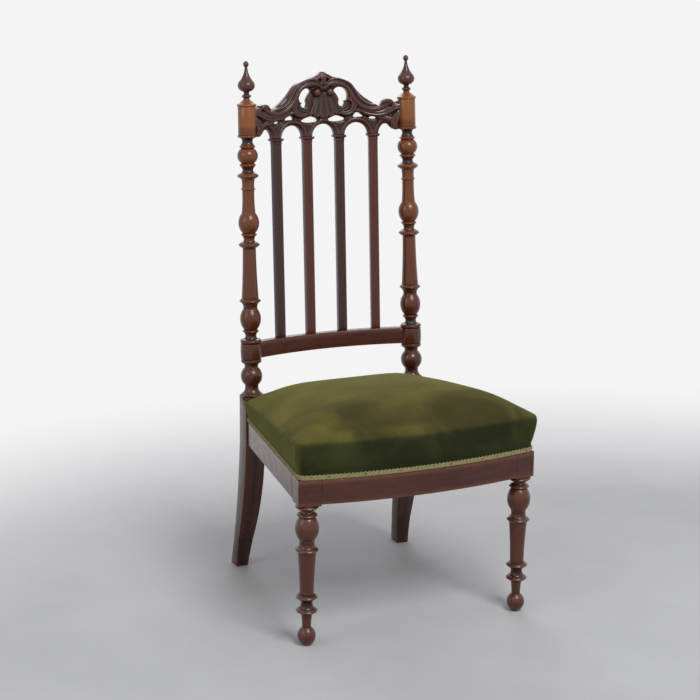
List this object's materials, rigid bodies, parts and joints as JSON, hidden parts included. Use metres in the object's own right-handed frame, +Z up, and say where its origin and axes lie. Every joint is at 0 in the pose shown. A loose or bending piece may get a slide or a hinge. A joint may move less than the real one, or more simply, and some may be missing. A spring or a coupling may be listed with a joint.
{
  "type": "high-backed upholstered side chair",
  "caption": "High-backed wooden side chair with turned posts, upright slats, a carved pierced crest rail and a sprung, velvet-covered seat edged with gimp braid.",
  "frame": {"origin": "on the floor, at the centre of the chair's bounding box", "axes": "+Z up along the chair's height, -Y the way the sitter faces, +X across; the chair is symmetric about the plane X = 0"},
  "size_m": [0.5054, 0.5244, 1.0601],
  "materials": {
    "mahogany": "french-polished red-brown mahogany",
    "turned_mahogany": "french-polished orange-brown turned mahogany",
    "dark_mahogany": "dark french-polished carved mahogany",
    "beech": "bare",
    "velvet": "olive green cotton velvet",
    "stuffing": "curled hair under calico",
    "canvas": "hessian",
    "webbing": "woven jute",
    "gimp": "woven greenish beige braid",
    "spring_steel": "coppered, dull",
    "steel": "blued",
    "brass": "aged"
  },
  "bodies": {
    "root": {"front_leg_left": "mahogany", "front_leg_right": "mahogany", "front_seat_rail": "mahogany", "side_seat_rail_left": "mahogany", "side_seat_rail_right": "mahogany", "back_seat_rail": "mahogany", "lower_back_rail": "mahogany", "rear_post_left": "turned_mahogany", "rear_post_right": "turned_mahogany", "crest_rail": "dark_mahogany", "back_slat_1": "dark_mahogany", "back_slat_2": "dark_mahogany", "back_slat_3": "dark_mahogany", "back_slat_4": "dark_mahogany", "finial_left": "dark_mahogany", "finial_right": "dark_mahogany", "corner_block_front_left": "beech", "corner_block_front_right": "beech", "corner_block_rear_left": "beech", "corner_block_rear_right": "beech", "velvet_cover": "velvet", "seat_stuffing": "stuffing", "spring_canvas": "canvas", "bottom_cloth": "canvas", "webbing_across": "webbing", "webbing_front_to_back": "webbing", "gimp_front": "gimp", "gimp_left": "gimp", "gimp_right": "gimp", "gimp_back": "gimp", "seat_springs": "spring_steel", "corner_block_screws": "steel", "webbing_tacks": "steel", "bottom_cloth_tacks": "steel", "gimp_nails": "brass"}
  },
  "joints": []
}
